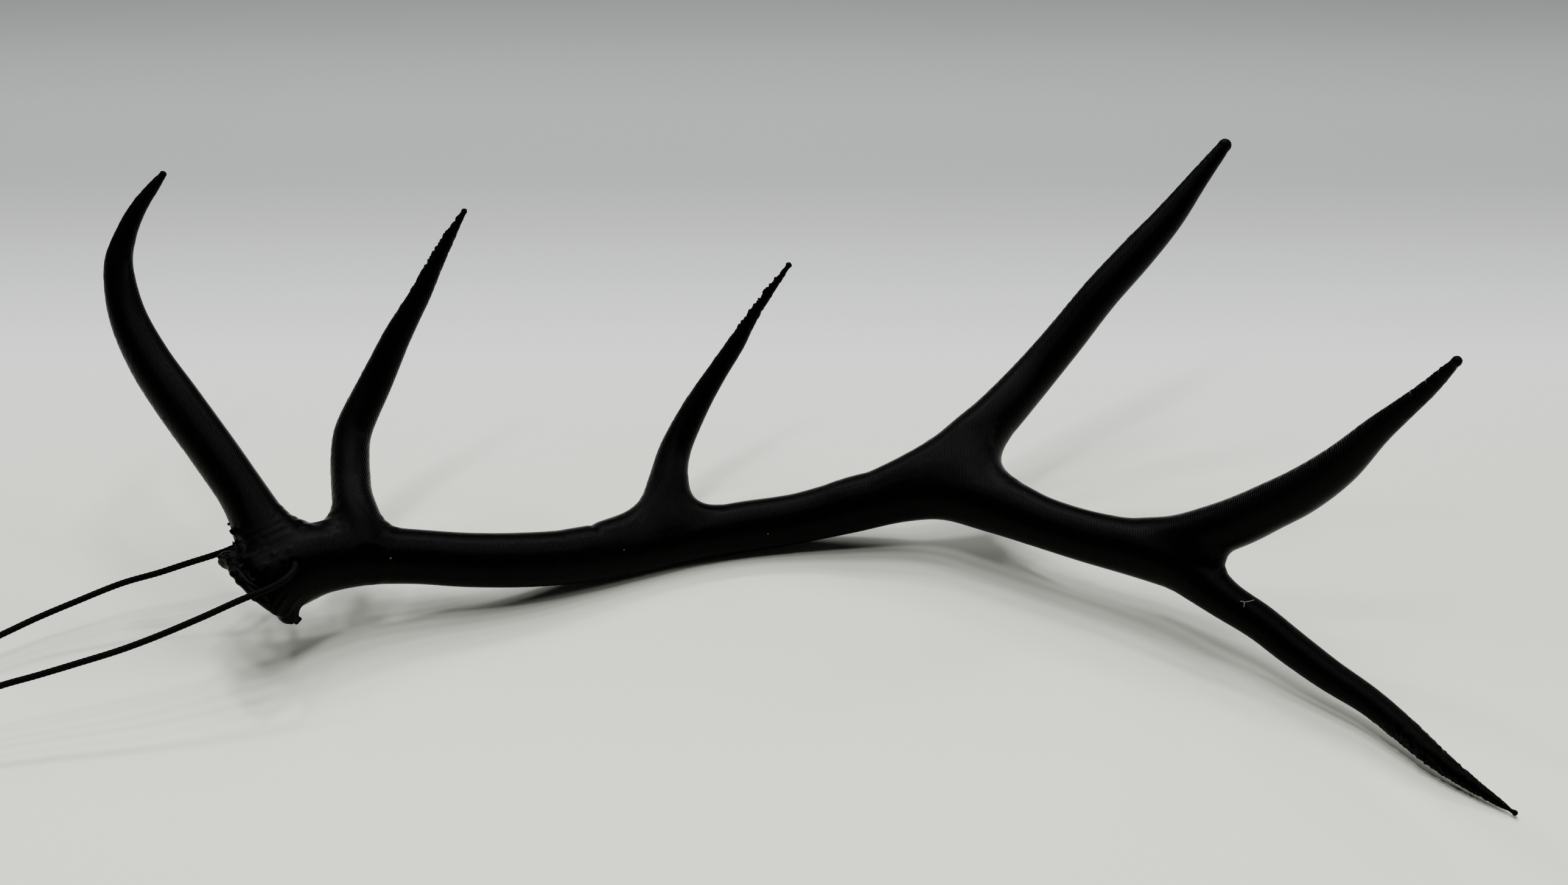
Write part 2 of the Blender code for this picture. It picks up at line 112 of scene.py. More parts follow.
ROYAL_TINE = [
    (14.7, 11.4, 7.6, 3.5),
    (20.0, 12.7, 9.6, 3.7),
    (24.9, 14.7, 11.5, 3.85),
    (28.8, 17.4, 13.6, 3.75),
    (32.2, 20.2, 15.5, 3.45),
    (37.4, 25.2, 18.8, 3.1),
    (42.2, 28.9, 23.1, 2.9),
    (46.8, 32.2, 27.8, 2.75),
    (52.2, 35.7, 32.6, 2.6),
    (56.8, 38.6, 36.9, 2.2),
    (60.8, 41.4, 41.4, 1.6),
    (64.55, 43.85, 45.6, 1.1),
]
UPPER_PRONG = [
    (49.0, -2.6, 9.6, 3.7),
    (53.9, -4.9, 11.9, 3.6),
    (58.2, -6.7, 15.1, 3.45),
    (61.6, -8.3, 18.2, 3.35),
    (64.4, -9.7, 21.3, 3.2),
    (67.8, -11.3, 25.1, 3.05),
    (71.4, -13.0, 30.3, 2.65),
    (74.5, -14.6, 36.4, 1.95),
    (77.2, -15.8, 40.9, 1.5),
    (79.3, -16.8, 44.5, 1.2),
    (81.3, -18.1, 48.95, 0.8),
]
LOWER_PRONG = [
    (54.8, -7.6, 10.2, 3.9),
    (59.2, -12.6, 8.6, 2.75),
    (63.7, -15.8, 7.1, 2.5),
    (67.6, -19.3, 5.6, 2.4),
    (71.7, -23.2, 4.4, 2.2),
    (75.85, -27.3, 3.75, 1.95),
    (79.35, -31.7, 2.98, 1.78),
    (82.43, -36.0, 2.25, 1.53),
    (85.26, -39.13, 1.55, 1.18),
    (90.35, -44.05, 0.6, 0.55),
]
TINES = [BROW_TINE, BEZ_TINE, TREZ_TINE, ROYAL_TINE, UPPER_PRONG, LOWER_PRONG]
LIMB_SPACING = 0.6        # mm from ring to ring of a limb
LIMB_SIDES = 36           # points round a limb
ROUND_END = 0.9           # how far a limb bulges past its last station, in radii
LIMB_SKIN = (0.45, 14)    # mm of one voxel and rounds of smoothing, for the bare limbs
PRINT_SKIN = (0.25, 2)    # and for the whole print
SMOOTHING = 0.5           # how far one round moves a point towards its neighbours
PRINT_TRIANGLES = 190000  # the print is thinned out to this many

# ---- the crotches --------------------------------------------------------------
# How widely each tine flows into the limbs before it, in millimetres.
CROTCH_WIDTHS = [5.5, 3.2, 6.0, 8.0, 3.0, 3.0]
CROTCH_CLEAR = (2.5, 5.0)  # mm above the burr, where the flow starts and where it is whole
CROTCH_EDGE = 0.12        # mm of filling over which the flow fades in
CROTCH_PASSES = 5
LEAST_STEEP = 0.4         # keeps a pass from overshooting in the bottom of a crotch
FLOW_SPACING = 1.2        # mm from sample to sample of a limb that points are measured against
FLOW_BATCH = 8000         # points measured at a time

# ---- the burr ----------------------------------------------------------------
BURR_CENTRE = Vector((-67.1, -12.7, 10.2))
BURR_AXIS = Vector((0.70, 0.41, 0.585)).normalized()
BURR_RADIUS = 5.8
BURR_BULGE = 1.0          # mm, half its thickness
BURR_CLEAR = 8.5          # mm from its axis, outside everything round it
BURR_SEED = 11
BURR_KNOBS = [            # x, y, z, radius
    (-71.2, -10.7, 13.3, 1.4),
    (-63.35, -14.6, 7.2, 1.4),
    (-62.4, -14.1, 6.0, 0.6),
]
KNOB_CRUMBS = [           # small lumps on the two knobs
    (-62.0, -14.0, 6.1, 0.32),
    (-62.45, -14.2, 5.7, 0.38),
    (-62.3, -13.8, 6.95, 0.34),
    (-71.9, -11.3, 14.3, 0.4),
    (-71.2, -11.8, 14.6, 0.38),
    (-70.6, -12.4, 14.8, 0.36),
]
PEARLS = 30               # beads along the rim
PEARL_SPREAD = 0.3        # how unevenly they stand, in spaces between two
PEARL_RADII = (0.35, 0.65)
PEARL_HEIGHTS = (-0.3, 0.5)  # mm along the burr's axis
PEARL_SINK = (0.45, 0.8)  # how deep they sit in the rim, in radii
FOLDS = 17                # folds that run from the beam down to the rim
FOLD_SPREAD = 0.25        # how unevenly they stand, in spaces between two
FOLD_RADII = (0.34, 0.55)
FOLD_START = 0.5          # mm above the rim
FOLD_RISE = (2.0, 4.6)    # mm from there to the fold's end
FOLD_SWAY = 0.16          # radians round the burr, to either side
FOLD_WOBBLE = 0.03        # radians, from point to point
FOLD_POINTS = 5
FOLD_TAPER = 0.14         # how much thinner a fold gets from point to point
FOLD_UNEVEN = (0.85, 1.1)
FOLD_SINK = 0.45          # how deep a fold sits in the skin, in radii
FOLD_BREAK = 2.2          # mm; a fold with a wider gap between its points is left out
FOLD_SPACING = 0.3        # mm from ring to ring of a fold
FOLD_SIDES = 12
RIM_FOLD = [              # the fold along the top of the rim: x, y, z
    (-69.9, -13.2, 14.6),
    (-69.0, -14.2, 14.7),
    (-68.4, -14.9, 14.6),
    (-67.5, -16.0, 14.3),
    (-66.6, -16.8, 14.2),
    (-65.8, -17.1, 13.6),
]
RIM_FOLD_RADIUS = 0.42
CROWN_LUMPS = [           # the lumps above it: x, y, z
    (-68.1, -12.4, 15.2),
    (-66.5, -10.3, 16.3),
    (-65.3, -13.7, 15.2),
    (-64.5, -12.1, 15.7),
    (-63.3, -12.6, 15.3),
    (-62.7, -11.2, 15.8),
]
CROWN_LUMP_RADIUS = 0.5
CROWN_LUMP_SQUASH = (0.8, 1.3, 0.8)
CROWN_SINK = 0.25         # mm that the lumps and the rim's fold lie deeper than their tops

# ---- where it printed badly ------------------------------------------------------
# Little blobs of plastic beside the brow tine's root: x, y, z, radius.
STRAY_BLOBS = [
    (-71.1, -7.7, 16.95, 0.30),
    (-70.8, -8.2, 16.3, 0.30),
    (-70.75, -8.3, 15.9, 0.28),
    (-70.5, -9.3, 15.2, 0.24),
    (-70.4, -9.8, 14.6, 0.26),
]
TIP_BEADS = [0.55, 0.50, 0.50, 1.00, 0.72, 0.45]   # the bead at the end of each tine
TIP_BEAD_SINK = 0.8       # how deep it sits in the end, in radii
ROUGH_REACH = [7.0, 17.0, 15.0, 6.0, 12.0, 24.0]   # how far down from its end each tine is rough
ROUGH_SHARE = [0.15, 0.75, 0.9, 0.2, 0.35, 0.95]   # and how rough
ROUGH_CORE = 0.4          # the share of the reach that is rough in full
TIP_ROUGH = 0.2           # the share of its roughness that a tine keeps at the very tip
TIP_CALM = (0.6, 3.5)     # mm from the tip, between which the rest of it comes in
OVERHANG = (0.35, 0.8)    # how far a face looks back down the build to hang over a little, or fully
HANG_SWELL = 0.025        # how much the layers swell where they hang over
END_SWELL = 0.14          # and at the rough ends
END_SWELL_LEVEL = 0.45    # the share of that where nothing hangs over
SWELL_LEAST = 0.004       # a smaller swell is left smooth
SWELL_GAIN = 1.6          # mm of lump for a swell of one
LUMPS_ACROSS = 1.2        # lumps to a millimetre, along a layer
LUMPS_ALONG = 2.6         # and from layer to layer
COARSE_LUMPS = 0.8        # the share of the coarse lumps beside the fine ones
FINE_LUMPS = 1.7          # how much finer those are
FINE_LUMPS_SHIFT = Vector((3.0, 7.0, 1.0))
SCARS_EVERYWHERE = 0.05   # crumbs where it hangs over but is not rough
SCARS_ON_ENDS = 0.25      # crumbs where it is rough but does not hang over
CRUMB_DENSITY = 8.0e5     # on a square metre
CRUMB_RADII = (0.1, 0.23)  # mm
CRUMB_STRETCH = ((0.7, 0.7, 0.5), (1.2, 1.2, 1.0))
CRUMB_SEED = 4

# ---- the cord ----------------------------------------------------------------
CORD_DIAMETER = 0.9
CORD_SPACING = 0.1        # mm from ring to ring of the cord
CORD_SIDES = 24
HOLE_DIAMETER = 1.5
HOLE_SIDES = 32
DRILL_PAST = 8.0          # mm that the drill is longer than the hole
HOLE_FRONT = Vector((-61.8, -13.0, 14.3))
HOLE_BACK = Vector((-65.8, -2.2, 11.2))
ROUTE_SPACING = 0.4       # mm from point to point of its path
CORD_ROUTE = [
    (-63.6, -8.1, 12.9),
    (-62.3, -11.6, 13.9),
    (-61.5, -14.2, 14.7),
    (-62.2, -16.6, 14.9),
    (-64.2, -18.0, 14.4),
    (-67.6, -19.4, 13.7),
    (-72.3, -21.6, 12.6),
    (-77.4, -23.7, 11.4),
    (-82.0, -25.3, 10.4),
    (-87.4, -26.8, 9.4),
    (-92.1, -28.1, 8.6),
    (-96.5, -29.4, 8.0),
    (-101.6, -31.2, 7.0),
    (-106.8, -33.3, 5.6),
    (-112.0, -35.6, 3.8),
    (-117.0, -37.8, 2.3),
    (-121.0, -40.1, 1.6),
    (-125.2, -43.0, 1.5),
    (-129.6, -46.2, 0.8),
    (-134.2, -48.0, 0.5),
    (-137.6, -46.2, 0.5),
    (-137.4, -42.2, 0.5),
    (-134.0, -38.4, 0.5),
    (-129.0, -34.4, 0.6),
    (-123.4, -30.1, 0.9),
    (-117.8, -25.8, 1.5),
    (-112.2, -21.6, 2.3),
    (-106.8, -17.8, 3.0),
    (-101.8, -14.5, 3.7),
    (-97.6, -11.8, 4.4),
    (-92.8, -9.4, 5.3),
    (-87.3, -7.0, 6.4),
    (-82.3, -5.9, 7.4),
    (-78.4, -4.8, 8.2),
    (-74.8, -3.8, 8.9),
    (-72.5, -2.9, 9.4),
    (-70.8, -1.2, 9.6),
    (-69.7, 0.7, 9.7),
    (-68.2, 1.4, 9.9),
    (-66.8, 0.7, 10.4),
    (-66.1, -1.0, 10.9),
    (-65.0, -4.3, 11.8),
]
KNOT_PLACE = Vector((-123.1, -41.5, 1.6))
KNOT_ALONG = Vector((-4.4, -3.0, 0.0)).normalized()
KNOT_TURNS = 3
KNOT_STEPS = 12           # points to a turn
KNOT_SPACING = 0.25       # mm from point to point of its path
KNOT_WRAP = 1.02          # how far from the loop's middle it is wound, in cord diameters
KNOT_TURN_WIDTH = 1.04    # and how far apart its turns are
KNOT_TAIL = 5.0           # mm
# Each tail from its end inwards: share of its length, mm of splay, mm above the table.
KNOT_TAIL_SHAPE = [(1.0, 1.7, 0.47), (0.55, 0.8, 0.5), (0.18, 0.2, 0.9)]
BRAID_PITCH = 0.65        # mm along the cord from one crossing to the next
BRAID_CARRIERS = 4        # strands that run each way round
BRAID_RELIEF = 0.05       # mm from the top of a strand to the valley beside it
BRAID_WEAVE = 0.4         # how much higher the strand on top is

# ---- dust and lint ---------------------------------------------------------------
DUST_SPECKS = [           # x, y, z, radius
    (-50.4, -8.1, 11.6, 0.12),
    (-20.3, 0.9, 6.0, 0.09),
    (-0.6, 6.5, 4.5, 0.09),
]
SPECK_SQUASH = (1.0, 0.8, 0.5)
LINT_FIBRES = [
    [(60.9, -15.4, 10.3), (61.4, -15.5, 10.2), (61.3, -16.1, 9.9)],
    [(61.4, -15.5, 10.2), (62.0, -15.3, 10.1), (62.8, -14.9, 10.0)],
]
LINT_RADIUS = 0.06
LINT_LIFT = 0.05          # mm above the skin
LINT_SPACING = 0.15       # mm from ring to ring
LINT_SIDES = 8

# ---- the looks -------------------------------------------------------------------
# Colours are red, green and blue. A cloud is soft noise: how fine, to a metre, and its detail.
LAYER_WANDER = 0.25       # how far a layer strays, in layers
LAYER_CLOUD = (220.0, 2.0)
LAYER_UNEVENNESS = 0.3    # how much one layer stands out from the next
LAYER_ROUND = 0.97        # how round a layer's edge is
LAYER_BUMP = 0.04         # mm
# The grooves between layers: how sharp their mask is, how much painted shade it lays in, and that
# shade's colour.
GROOVE_SHARPNESS = 6.0
GROOVE_SHADE_SHARE = 0.6
GROOVE_PAINTED_SHADE = (0.0004, 0.0004, 0.0004)
PLASTIC_DARK = (0.0005, 0.0005, 0.0006)
PLASTIC_LIGHT = (0.0013, 0.0012, 0.0012)
PLASTIC_CLOUD = (260.0, 3.0)
PLASTIC_ROUGH = 0.19
PLASTIC_ROUGH_RANGE = 0.16
PLASTIC_SHINE = 0.022
GRAIN_CLOUD = (4200.0, 2.0)
GRAIN_STRENGTH = 0.5
GRAIN_BUMP = 0.01         # mm
# Painted shade in the braid's valleys and painted light on its crowns.
CORD_VALLEY_PAINTED_SHADE = (0.0005, 0.0005, 0.0005)
CORD_CROWN_PAINTED_LIGHT = (0.0018, 0.0017, 0.0017)
CORD_FIBRE = (0.0012, 0.0011, 0.0011)
CORD_ROUGH = 0.6
CORD_ROUGH_RANGE = 0.2
CORD_SHINE = 0.04
FIBRE_STRETCH = (6.0, 6.0, 3.0)
FIBRE_CLOUD = (2.5, 4.0)  # this one is counted to a turn of the braid
FIBRE_SHARE = 0.5
FIBRE_STRENGTH = 0.6
FIBRE_BUMP = 0.03         # mm
# Fine dust: mm between specks, their size as a share of that, how much one covers, its colour.
PLASTIC_DUST = (6.0, 0.05, 0.5, (0.35, 0.35, 0.34))
CORD_DUST = (3.0, 0.06, 0.4, (0.25, 0.24, 0.22))
DUST_RARE = 0.55          # the share of the places that stay clean
LINT_DARK = (0.07, 0.07, 0.07)
LINT_PALE = (0.18, 0.18, 0.18)
LINT_CLOUD = (6000.0, 2.0)
LINT_ROUGH = 0.8
TABLE_CLOUD = (18.0, 3.0)
TABLE_CLOUD_SHARE = 0.03
TABLE_CLOUD_GREY = (0.5, 0.5, 0.5)
TABLE_ROUGH = 0.6
TABLE_SHINE = 0.2

# ---- the view and the studio ---------------------------------------------------
CAMERA_PLACE = (1.648, -232.705, 187.555)  # mm
CAMERA_TILT = 55.0        # degrees up from straight down
CAMERA_WIDTH = 40.0       # degrees across the frame
CAMERA_CLIP = (0.01, 20.0)  # metres
TABLE_SIZE = 4000.0       # mm from the middle to an edge
TABLE_FRONT = -0.10       # metres, where the painted shade starts
TABLE_BACK = 0.22         # and where it ends
TABLE_PAINTED_SHADES = [          # from the front of the table to the back, with the lamps' fall-off painted in as shade
    (0.0, (0.79, 0.80, 0.70)),
    (0.20, (0.79, 0.805, 0.705)),
    (0.29, (0.705, 0.72, 0.635)),
    (0.42, (0.70, 0.715, 0.645)),
    (0.49, (0.69, 0.71, 0.68)),
    (0.53, (0.61, 0.62, 0.61)),
    (0.57, (0.51, 0.52, 0.525)),
    (0.62, (0.395, 0.405, 0.40)),
    (0.68, (0.295, 0.305, 0.302)),
    (0.79, (0.268, 0.277, 0.274)),
    (0.87, (0.208, 0.214, 0.212)),
    (0.94, (0.152, 0.158, 0.157)),
    (1.0, (0.135, 0.14, 0.14)),
]
# Each lamp in metres: place, width and depth, and its share of the light on the table.
LAMPS = {
    "top_panel": ((0.095, 0.13, 0.90), (0.10, 0.17), 0.145),
    "top_back_panel": ((0.0, 0.27, 0.90), (0.24, 0.08), 0.07),
    "top_left_lamp": ((-0.23, 0.20, 0.90), (0.12, 0.10), 0.065),
    "front_top_panel": ((0.03, -0.07, 0.90), (0.13, 0.12), 0.12),
    "front_left_lamp": ((-0.13, -0.26, 0.90), (0.09, 0.12), 0.11),
    "back_lamp": ((0.0, 0.45, 0.90), (0.09, 0.09), 0.07),
    "back_left_panel": ((-0.17, 0.62, 0.90), (0.11, 0.10), 0.13),
    "back_right_lamp": ((0.09, 0.63, 0.90), (0.09, 0.09), 0.05),
    "left_lamp": ((-0.63, 0.54, 0.90), (0.09, 0.09), 0.055),
    "far_left_lamp": ((-0.27, 0.81, 0.90), (0.24, 0.24), 0.035),
    "far_back_lamp": ((0.0, 1.08, 0.90), (0.24, 0.24), 0.04),
    "far_right_lamp": ((0.27, 0.81, 0.90), (0.24, 0.24), 0.03),
    "right_back_lamp": ((0.68, 0.65, 0.90), (0.24, 0.24), 0.025),
    "right_lamp": ((1.70, 0.15, 0.90), (0.30, 0.30), 0.055),
}
TABLE_LIGHT = 5.9         # watts on a square metre of the table
ROOM_LIGHT = 0.03         # the grey of the room round it


# ---------------------------------------------------------------------------------
# Shapes
# ---------------------------------------------------------------------------------
def catmull_rom(a, b, c, d, t):
    return 0.5 * (2 * b + (c - a) * t + (2 * a - 5 * b + 4 * c - d) * t ** 2
                  + (3 * b - a - 3 * c + d) * t ** 3)


def smooth_path(stations, spacing):
    """Evenly spaced samples of a smooth curve through the stations."""
    points = [Vector(s) for s in stations]
    guide = [points[0] * 2 - points[1]] + points + [points[-1] * 2 - points[-2]]
    samples = []
    for i in range(1, len(guide) - 2):
        a, b, c, d = guide[i - 1:i + 3]
        steps = max(1, round((c - b).length / spacing))
        samples += [catmull_rom(a, b, c, d, k / steps) for k in range(steps)]
    samples.append(points[-1])
    return samples


def add_limb(bm, stations, spacing=LIMB_SPACING, sides=LIMB_SIDES):
    """A closed limb through its stations, with a rounded end."""
    samples = smooth_path(stations, spacing)
    centres = [Vector(s[:3]) for s in samples]
    side = (centres[1] - centres[0]).orthogonal()
    rings = []
    for i, sample in enumerate(samples):
        tangent = (centres[min(i + 1, len(centres) - 1)] - centres[max(i - 1, 0)]).normalized()
        side = (side - tangent * side.dot(tangent)).normalized()
        up = tangent.cross(side)
        ring = []
        for k in range(sides):
            turn = 2 * math.pi * k / sides
            out = side * math.cos(turn) + up * math.sin(turn)
            ring.append(bm.verts.new(centres[i] + out * sample[3]))
        rings.append(ring)
    far_end = centres[-1] + tangent * samples[-1][3] * ROUND_END
    for ring, apex in ((rings[0], centres[0]), (rings[-1], far_end)):
        tip = bm.verts.new(apex)
        for k in range(sides):
            bm.faces.new((ring[k], ring[(k + 1) % sides], tip))
    for lower, upper in zip(rings, rings[1:]):
        for k in range(sides):
            n = (k + 1) % sides
            bm.faces.new((lower[k], lower[n], upper[n], upper[k]))


def add_ball(bm, centre, radius, squash=(1.0, 1.0, 1.0), turn=Matrix.Identity(4)):
    place = Matrix.Translation(centre) @ turn @ Matrix.Diagonal((*squash, 1.0))
    bmesh.ops.create_icosphere(bm, subdivisions=BALL_FINENESS, radius=radius, matrix=place)


def link(obj):
    bpy.context.scene.collection.objects.link(obj)
    return obj


def to_object(name, bm):
    """A mesh object in metres, from a bmesh in millimetres."""
    mesh = bpy.data.meshes.new(name)
    bm.transform(Matrix.Scale(MM, 4))
    bm.to_mesh(mesh)
    bm.free()
    return link(bpy.data.objects.new(name, mesh))


def settle(obj):
    """Replace the object's mesh with what its modifiers make."""
    graph = bpy.context.evaluated_depsgraph_get()
    mesh = bpy.data.meshes.new_from_object(obj.evaluated_get(graph))
    obj.modifiers.clear()
    obj.data = mesh
    return obj


def one_skin(obj, voxel, rounding):
    """One closed skin over all the bodies of an object, its creases rounded."""
    skin = obj.modifiers.new("skin", "REMESH")
    skin.mode = "VOXEL"
    skin.voxel_size = voxel * MM
    soften = obj.modifiers.new("soften", "SMOOTH")
    soften.factor = SMOOTHING
    soften.iterations = rounding
    return settle(obj)


def face_out(bm):
    bmesh.ops.recalc_face_normals(bm, faces=bm.faces)


def aimed(direction):
    """The turn that points the z axis along a direction."""
    return direction.to_track_quat("Z", "Y").to_matrix().to_4x4()


def burr_place():
    return Matrix.Translation(BURR_CENTRE) @ aimed(BURR_AXIS)


def blended_limbs():
    """Beam, tines and burr grown into each other, with wide soft crotches."""
    bm = bmesh.new()
    for stations in [BEAM] + TINES:
        add_limb(bm, stations)
    flat = (1.0, 1.0, BURR_BULGE / BURR_RADIUS)
    add_ball(bm, Vector(), BURR_RADIUS, flat, burr_place())
    for x, y, z, size in BURR_KNOBS:
        add_ball(bm, Vector((x, y, z)), size)
    face_out(bm)
    antler = one_skin(to_object("antler", bm), *LIMB_SKIN)
    fill_crotches(antler.data)
    return antler


def read_vectors(mesh, field):
    flat = np.empty(len(mesh.vertices) * 3, np.float32)
    mesh.vertices.foreach_get(field, flat)
    return flat.reshape(-1, 3).astype(float)


def write_points(mesh, points):
    mesh.vertices.foreach_set("co", points.astype(np.float32).ravel())
    mesh.update()


def smoothstep(low, high, value):
    t = np.clip((value - low) / (high - low), 0.0, 1.0)
    return t * t * (3 - 2 * t)


def limb_skin(points, stations):
    """How far each point is from a limb's skin, in millimetres, and which way is out."""
    path = np.array([tuple(s) for s in smooth_path(stations, FLOW_SPACING)])
    start, run = path[:-1], np.diff(path, axis=0)
    square = (run[:, :3] ** 2).sum(1)
    gaps, outs = [], []
    for low in range(0, len(points), FLOW_BATCH):
        rel = points[low:low + FLOW_BATCH, None, :] - start[:, :3]
        t = np.clip((rel * run[:, :3]).sum(2) / square, 0.0, 1.0)
        off = rel - t[..., None] * run[:, :3]
        far = np.linalg.norm(off, axis=2)
        gap = far - start[:, 3] - t * run[:, 3]
        rows, best = np.arange(len(rel)), gap.argmin(1)
        gaps.append(gap[rows, best])
        outs.append(off[rows, best] / np.maximum(far[rows, best], TINY)[:, None])
    return np.concatenate(gaps), np.concatenate(outs)


def flow_together(first, second, width):
    """One skin from two, the crotch between them rounded out over a width."""
    gap_a, out_a = first
    gap_b, out_b = second
    facing = np.clip(1.0 - (out_a * out_b).sum(1), 0.0, 1.0)
    width = np.maximum(width * facing, TINY)
    reach = np.clip(1.0 - np.abs(gap_a - gap_b) / width, 0.0, 1.0)
    near_a = (gap_a < gap_b)[:, None]
    share = np.where(near_a, reach[:, None] / 2, 1.0 - reach[:, None] / 2)
    gap = np.minimum(gap_a, gap_b) - reach ** 2 * width / 4
    return gap, out_a * (1.0 - share) + out_b * share


def fill_crotches(mesh):
    """Round out the crotches, as an antler's tines grow out of its beam."""
    points = read_vectors(mesh, "co") / MM
    above = (points - np.array(BURR_CENTRE)) @ np.array(BURR_AXIS)
    clear = smoothstep(*CROTCH_CLEAR, above)
    busy = np.arange(len(points))
    for _ in range(CROTCH_PASSES):
        skin = limb_skin(points[busy], BEAM)
        hard = skin[0]
        for stations, width in zip(TINES, CROTCH_WIDTHS):
            other = limb_skin(points[busy], stations)
            hard = np.minimum(hard, other[0])
            skin = flow_together(skin, other, width)
        gap, out = skin
        steep = np.maximum((out ** 2).sum(1), LEAST_STEEP)
        move = gap / steep * smoothstep(0.0, CROTCH_EDGE, hard - gap) * clear[busy]
        points[busy] -= out * move[:, None]
        busy = busy[hard > gap]
    write_points(mesh, points * MM)


def drill(obj):
    """The round hole that the cord goes through."""
    run = HOLE_BACK - HOLE_FRONT
    bm = bmesh.new()
    place = Matrix.Translation((HOLE_FRONT + HOLE_BACK) / 2) @ aimed(run)
    bmesh.ops.create_cone(bm, cap_ends=True, segments=HOLE_SIDES, matrix=place,
                          depth=run.length + DRILL_PAST,
                          radius1=HOLE_DIAMETER / 2, radius2=HOLE_DIAMETER / 2)
    bit = to_object("drill_bit", bm)
    cut = obj.modifiers.new("hole", "BOOLEAN")
    cut.operation = "DIFFERENCE"
    cut.solver = "EXACT"
    cut.object = bit
    settle(obj)
    bpy.data.objects.remove(bit, do_unlink=True)


def on_burr(antler, turn, height):
    """Where the skin round the burr is met from outside, in millimetres, and which way is out."""
    flange = burr_place()
    side = Vector((math.cos(turn), math.sin(turn), 0.0))
    start = flange @ (side * BURR_CLEAR + Vector((0.0, 0.0, height)))
    outward = flange.to_3x3() @ side
    hit, place, normal, _ = antler.ray_cast(start * MM, -outward)
    if hit and normal.dot(outward) > 0.0:
        return place / MM, normal
    return None


def add_pearls(bm, antler, rng):
    """Beads round the burr's rim."""
    for k in range(PEARLS):
        turn = 2 * math.pi * (k + rng.uniform(-PEARL_SPREAD, PEARL_SPREAD)) / PEARLS
        size = rng.uniform(*PEARL_RADII)
        found = on_burr(antler, turn, rng.uniform(*PEARL_HEIGHTS))
        if found:
            add_ball(bm, found[0] - found[1] * size * rng.uniform(*PEARL_SINK), size)


def add_folds(bm, antler, rng):
    """Folds that run from the beam down to the burr's rim."""
    last = FOLD_POINTS - 1
    for k in range(FOLDS):
        turn = 2 * math.pi * (k + rng.uniform(-FOLD_SPREAD, FOLD_SPREAD)) / FOLDS
        thick = rng.uniform(*FOLD_RADII)
        rise = rng.uniform(*FOLD_RISE)
        sway = rng.uniform(-FOLD_SWAY, FOLD_SWAY)
        fold = []
        for step in range(FOLD_POINTS):
            lean = sway * step / last
            wobble = rng.uniform(-FOLD_WOBBLE, FOLD_WOBBLE)
            found = on_burr(antler, turn + lean + wobble, FOLD_START + rise * step / last)
            if found:
                size = thick * (1.0 - FOLD_TAPER * step) * rng.uniform(*FOLD_UNEVEN)
                fold.append((*(found[0] - found[1] * size * FOLD_SINK), size))
        gaps = [(Vector(a[:3]) - Vector(b[:3])).length for a, b in zip(fold, fold[1:])]
        if len(fold) == FOLD_POINTS and max(gaps) < FOLD_BREAK:
            add_limb(bm, fold, FOLD_SPACING, FOLD_SIDES)


def add_burr_detail(bm, antler):
    """Beads, folds, the lumps of the crown, and crumbs on the knobs."""
    rng = random.Random(BURR_SEED)
    add_pearls(bm, antler, rng)
    add_folds(bm, antler, rng)
    rim = [(x, y, z - CROWN_SINK, RIM_FOLD_RADIUS) for x, y, z in RIM_FOLD]
    add_limb(bm, rim, FOLD_SPACING, FOLD_SIDES)
    for x, y, z in CROWN_LUMPS:
        add_ball(bm, Vector((x, y, z - CROWN_SINK)), CROWN_LUMP_RADIUS, CROWN_LUMP_SQUASH)
    for x, y, z, size in KNOB_CRUMBS:
        add_ball(bm, Vector((x, y, z)), size)


def add_stray_plastic(bm):
    """Stray blobs beside the brow tine's root, and the bead at the end of each tine."""
    for x, y, z, size in STRAY_BLOBS:
        add_ball(bm, Vector((x, y, z)), size)
    for stations, size in zip(TINES, TIP_BEADS):
        end = Vector(stations[-1][:3])
        run = (end - Vector(stations[-2][:3])).normalized()
        add_ball(bm, end + run * (stations[-1][3] * ROUND_END - size * TIP_BEAD_SINK), size)


def rough_ends(points):
    """How rough each point is, 0 to 1: the thin ends of some tines printed badly."""
    rough = np.zeros(len(points))
    for stations, reach, share in zip(TINES, ROUGH_REACH, ROUGH_SHARE):
        away = np.linalg.norm(points / MM - np.array(stations[-1][:3]), axis=1)
        end = TIP_ROUGH + (1.0 - TIP_ROUGH) * smoothstep(*TIP_CALM, away)
        fade = 1.0 - smoothstep(ROUGH_CORE * reach, reach, away)
        rough = np.maximum(rough, share * end * fade)
    return rough


def overhang(mesh):
    """How much each point hangs over, as the printer sees it: 0 to 1."""
    return smoothstep(*OVERHANG, -(read_vectors(mesh, "normal") @ np.array(LAYER_AXIS)))


def roughen(obj):
    """Uneven layers on the overhangs and at the thin ends."""
    mesh = obj.data
    points = read_vectors(mesh, "co")
    rough = rough_ends(points)
    hang = overhang(mesh)
    swell = HANG_SWELL * hang + END_SWELL * rough * (END_SWELL_LEVEL + hang)
    lift = np.zeros(len(points))
    across = np.array(LAYER_AXIS)
    for i in np.nonzero(swell > SWELL_LEAST)[0]:
        p = points[i] / MM
        along = float(p @ across)
        q = Vector((p - across * along) * LUMPS_ACROSS) + LAYER_AXIS * along * LUMPS_ALONG
        lift[i] = COARSE_LUMPS * noise.noise(q) + noise.noise(q * FINE_LUMPS + FINE_LUMPS_SHIFT)
    points += read_vectors(mesh, "normal") * (lift * swell * SWELL_GAIN * MM)[:, None]
    points[:, 2] = np.maximum(points[:, 2], ABOVE_TABLE * MM)
    write_points(mesh, points)


def thin_out(obj, triangles):
    count = sum(len(p.vertices) - 2 for p in obj.data.polygons)
    if count > triangles:
        fewer = obj.modifiers.new("fewer", "DECIMATE")
        fewer.ratio = triangles / count
        settle(obj)


